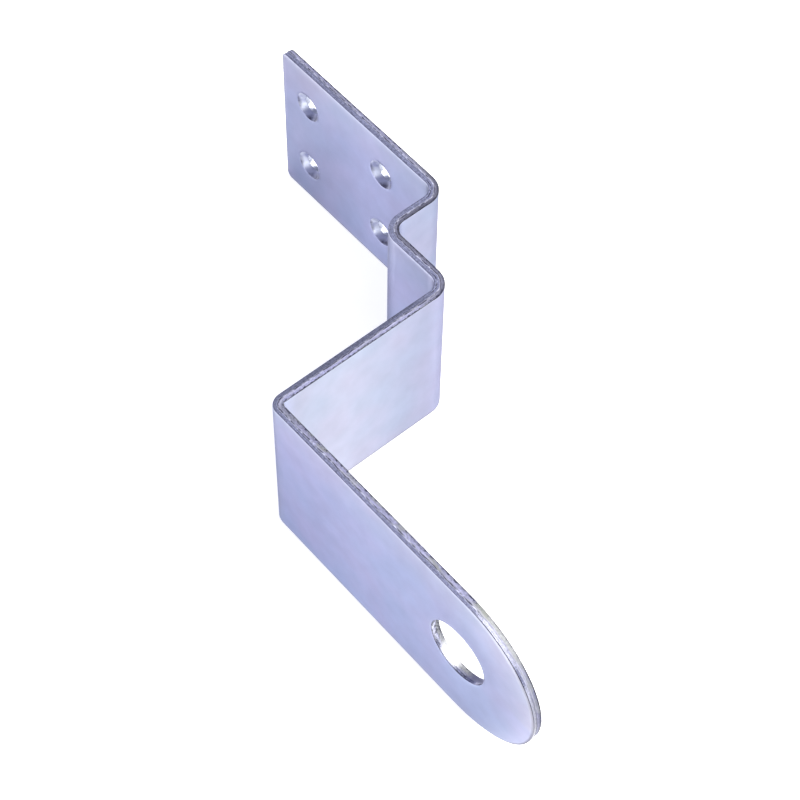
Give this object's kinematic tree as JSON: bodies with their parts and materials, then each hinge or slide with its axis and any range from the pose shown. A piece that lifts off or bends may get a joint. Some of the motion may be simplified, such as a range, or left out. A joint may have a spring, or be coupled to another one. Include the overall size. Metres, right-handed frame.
{
  "type": "antenna mounting bracket",
  "caption": "Stepped bracket folded from one steel strip, with a countersunk screw leg at one end and a round-ended leg with an antenna socket hole at the other.",
  "frame": {"origin": "on the mounting face, midway between the screw holes of the mounting leg", "axes": "+X along the legs towards the antenna end, +Y out of the mounting face towards what carries the bracket, +Z across the strip"},
  "size_m": [0.1611, 0.0674, 0.045],
  "materials": {
    "zinc_plated_steel": "satin zinc plating, smooth, with a bluish cast"
  },
  "bodies": {
    "root": {"bracket": "zinc_plated_steel"}
  },
  "joints": []
}
